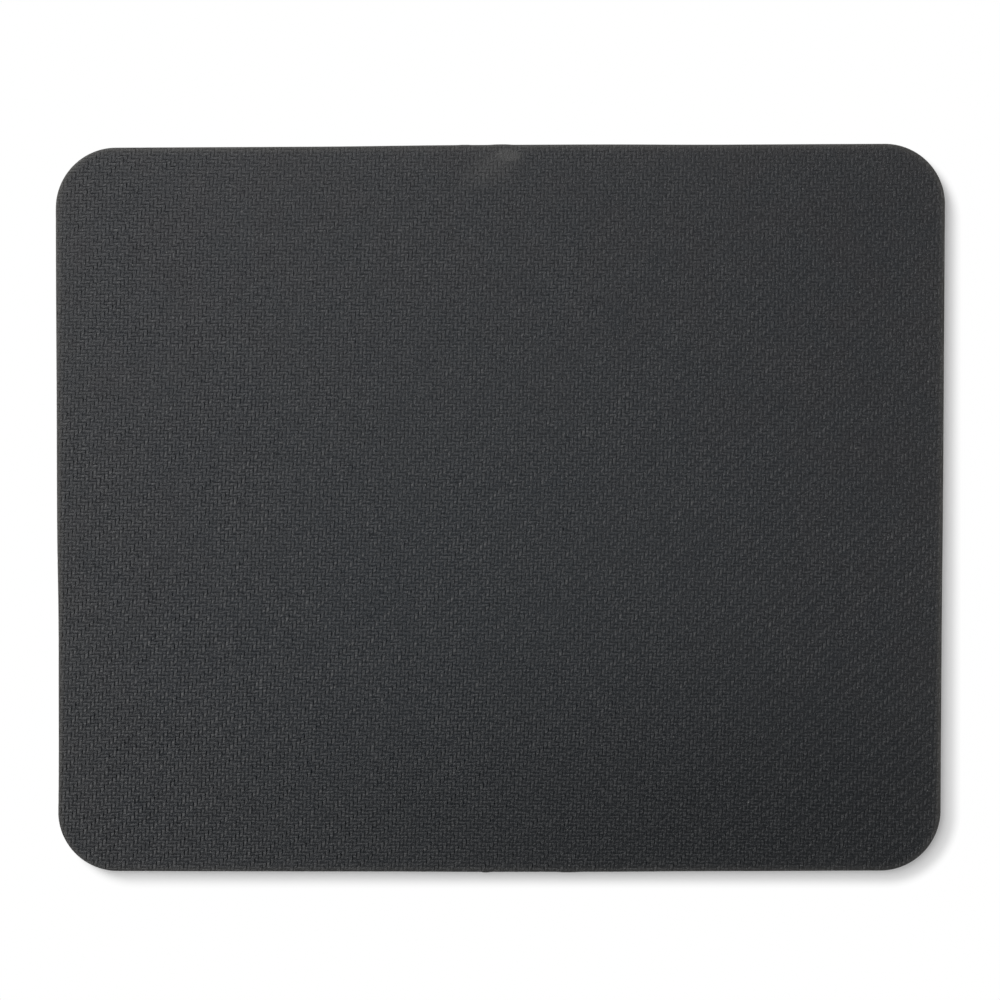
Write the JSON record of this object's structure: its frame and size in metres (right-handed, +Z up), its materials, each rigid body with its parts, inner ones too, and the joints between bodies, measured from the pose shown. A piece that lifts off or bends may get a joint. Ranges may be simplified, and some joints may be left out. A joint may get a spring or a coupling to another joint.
{
  "type": "mouse pad",
  "caption": "Flat flexible mouse pad of bonded cloth and sponge rubber with round corners, lying with its twill-embossed grip side up.",
  "frame": {"origin": "centre of the cloth's outer face, on the surface that the pad lies on", "axes": "+Z up, out of the embossed grip side; +X along the 220 mm length; +Y along the 180 mm width, towards the top of the picture"},
  "size_m": [0.22, 0.18, 0.003],
  "materials": {
    "tracking_cloth": "fine matt warp knit",
    "adhesive_film": "thin satin film",
    "sponge_rubber": "cut closed-cell sponge",
    "embossed_rubber": "matt with a twill imprint"
  },
  "bodies": {
    "root": {"cloth_face": "tracking_cloth", "bonding_film": "adhesive_film", "sponge_core": "sponge_rubber", "grip_skin": "embossed_rubber"}
  },
  "joints": []
}
